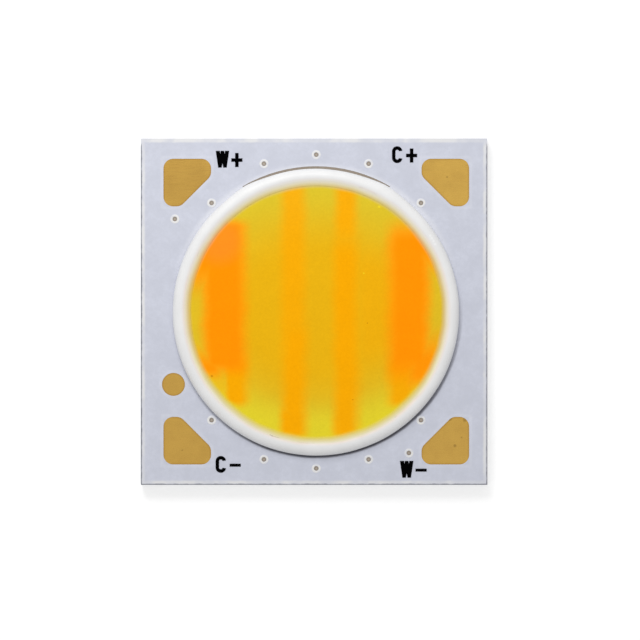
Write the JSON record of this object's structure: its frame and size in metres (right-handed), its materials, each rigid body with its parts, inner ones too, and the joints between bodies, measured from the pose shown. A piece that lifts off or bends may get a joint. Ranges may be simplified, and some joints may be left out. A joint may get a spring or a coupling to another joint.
{
  "type": "two-colour chip-on-board led",
  "caption": "Square metal-core board with a round field of LED chips under striped warm and cool phosphor gel, a white dam and gold corner pads.",
  "frame": {"origin": "where the optical axis meets the board's underside", "axes": "+Z along the optical axis, the way the light goes; +Y towards the edge with the two plus pads; +X towards the cold plus pad"},
  "size_m": [0.019, 0.019, 0.0015],
  "materials": {
    "aluminium_plate": "rolled, mirror bright on top, cut edges",
    "laminate": "matte glass laminate",
    "copper": "etched copper foil, under the mask",
    "gold_finish": "thin gold plating, satin with fine scratches",
    "solder_mask": "bluish white, satin",
    "black_ink": "printed ink, matte",
    "clear_glue": "clear die adhesive",
    "chip": "polished, pale blue",
    "gold_wire": "drawn wire, bright",
    "white_silicone": "opaque white, satin",
    "cool_phosphor_gel": "yellow, glossy",
    "warm_phosphor_gel": "orange, glossy"
  },
  "bodies": {
    "root": {"base_plate": "aluminium_plate", "insulation_layer": "laminate", "track_warm_plus": "copper", "track_cold_plus": "copper", "track_cold_minus": "copper", "track_warm_minus": "copper", "temperature_point_land": "copper", "pad_warm_plus": "gold_finish", "pad_cold_plus": "gold_finish", "pad_cold_minus": "gold_finish", "pad_warm_minus": "gold_finish", "bus_finish_warm": "gold_finish", "bus_finish_cold": "gold_finish", "temperature_point_pad": "gold_finish", "alignment_marks": "gold_finish", "solder_mask": "solder_mask", "legend_warm_plus": "black_ink", "legend_cold_plus": "black_ink", "legend_cold_minus": "black_ink", "legend_warm_minus": "black_ink", "die_glue_warm": "clear_glue", "die_glue_cool": "clear_glue", "chips_warm_1": "chip", "chips_warm_2": "chip", "chips_warm_3": "chip", "chips_warm_4": "chip", "chips_warm_5": "chip", "chips_warm_6": "chip", "chips_cool_1": "chip", "chips_cool_2": "chip", "chips_cool_3": "chip", "bond_wires_warm_1": "gold_wire", "bond_wires_warm_2": "gold_wire", "bond_wires_warm_3": "gold_wire", "bond_wires_warm_4": "gold_wire", "bond_wires_warm_5": "gold_wire", "bond_wires_warm_6": "gold_wire", "bond_wires_cool_1": "gold_wire", "bond_wires_cool_2": "gold_wire", "bond_wires_cool_3": "gold_wire", "dam_ring": "white_silicone", "cool_gel": "cool_phosphor_gel", "warm_gel_left_double": "warm_phosphor_gel", "warm_gel_left_single": "warm_phosphor_gel", "warm_gel_right_double": "warm_phosphor_gel", "warm_gel_right_single": "warm_phosphor_gel"}
  },
  "joints": []
}
